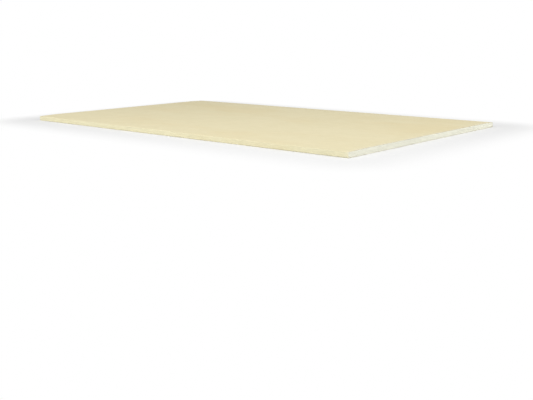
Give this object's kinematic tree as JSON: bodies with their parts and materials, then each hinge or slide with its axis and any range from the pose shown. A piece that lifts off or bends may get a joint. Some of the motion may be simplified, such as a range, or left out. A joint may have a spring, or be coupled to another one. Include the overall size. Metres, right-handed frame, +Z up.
{
  "type": "drywall sheet",
  "caption": "Small-format drywall sheet lying face up: gypsum core in ivory face paper and grey back paper, tapered paper-wrapped long edges and square cut ends.",
  "frame": {"origin": "middle of the back, on the plane it lies on", "axes": "+X along the sheet's length and its paper-wrapped edges, +Y across it, +Z up, out of its face"},
  "size_m": [1, 0.6, 0.0125],
  "materials": {
    "gypsum": "matt chalky white, finely pitted where it is cut",
    "ivory_paper": "smooth matt ivory liner paper with faint fibres along the sheet",
    "grey_paper": "matt grey-brown recycled liner paper"
  },
  "bodies": {
    "root": {"gypsum_core": "gypsum", "face_paper": "ivory_paper", "back_paper": "grey_paper"}
  },
  "joints": []
}
